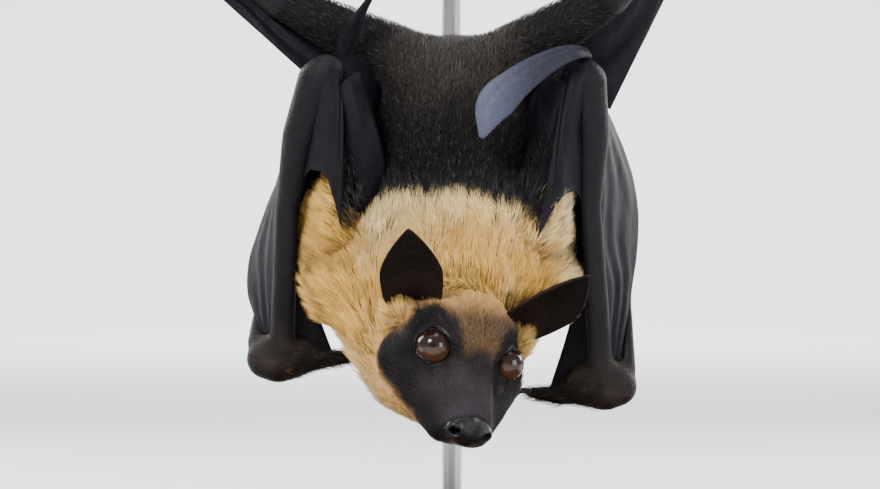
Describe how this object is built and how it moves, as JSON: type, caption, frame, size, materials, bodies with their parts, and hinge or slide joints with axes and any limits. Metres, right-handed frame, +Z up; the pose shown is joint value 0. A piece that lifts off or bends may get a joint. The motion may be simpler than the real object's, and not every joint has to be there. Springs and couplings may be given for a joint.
{
  "type": "fruit bat display model",
  "caption": "Life-size still model of a flying fox hanging head down from a cut branch on a plain stand, wings folded at its sides, head bent back",
  "frame": {"origin": "Floor level under the middle of the stand's base", "axes": "X to the bat's left, -Y to the bat's back and the side its face looks to, Z up; the bat hangs head down"},
  "size_m": [0.38, 0.26, 0.3618],
  "materials": {
    "fur_blonde": "matte",
    "fur_black": "matte",
    "fur_face": "matte",
    "membrane": "satin",
    "ear_skin": "matte",
    "eye": "polished",
    "claw": "satin",
    "bark": "rough",
    "base_wood": "satin",
    "rod_steel": "satin"
  },
  "bodies": {
    "root": {"ear_left": "ear_skin", "ear_right": "ear_skin", "eye_left": "eye", "eye_right": "eye", "finger_left": "membrane", "finger_right": "membrane", "flank_membrane_left": "membrane", "flank_membrane_right": "membrane", "foot_left": "membrane", "foot_right": "membrane", "forearm_left": "membrane", "forearm_right": "membrane", "hand_left": "membrane", "hand_right": "membrane", "head": "fur_face", "leading_membrane_left": "membrane", "leading_membrane_right": "membrane", "neck": "fur_blonde", "perch_branch": "bark", "plagiopatagium_left": "membrane", "plagiopatagium_right": "membrane", "propatagium_left": "membrane", "propatagium_right": "membrane", "shank_left": "membrane", "shank_right": "membrane", "stand_base": "base_wood", "stand_rod": "rod_steel", "thigh_left": "fur_black", "thigh_right": "fur_black", "thumb_claw_left": "claw", "thumb_claw_right": "claw", "thumb_left": "membrane", "thumb_right": "membrane", "trunk": "fur_black", "upper_arm_left": "fur_black", "upper_arm_right": "fur_black", "wing_fold_left": "membrane", "wing_fold_right": "membrane", "wing_tip_left": "membrane", "wing_tip_right": "membrane"}
  },
  "joints": []
}
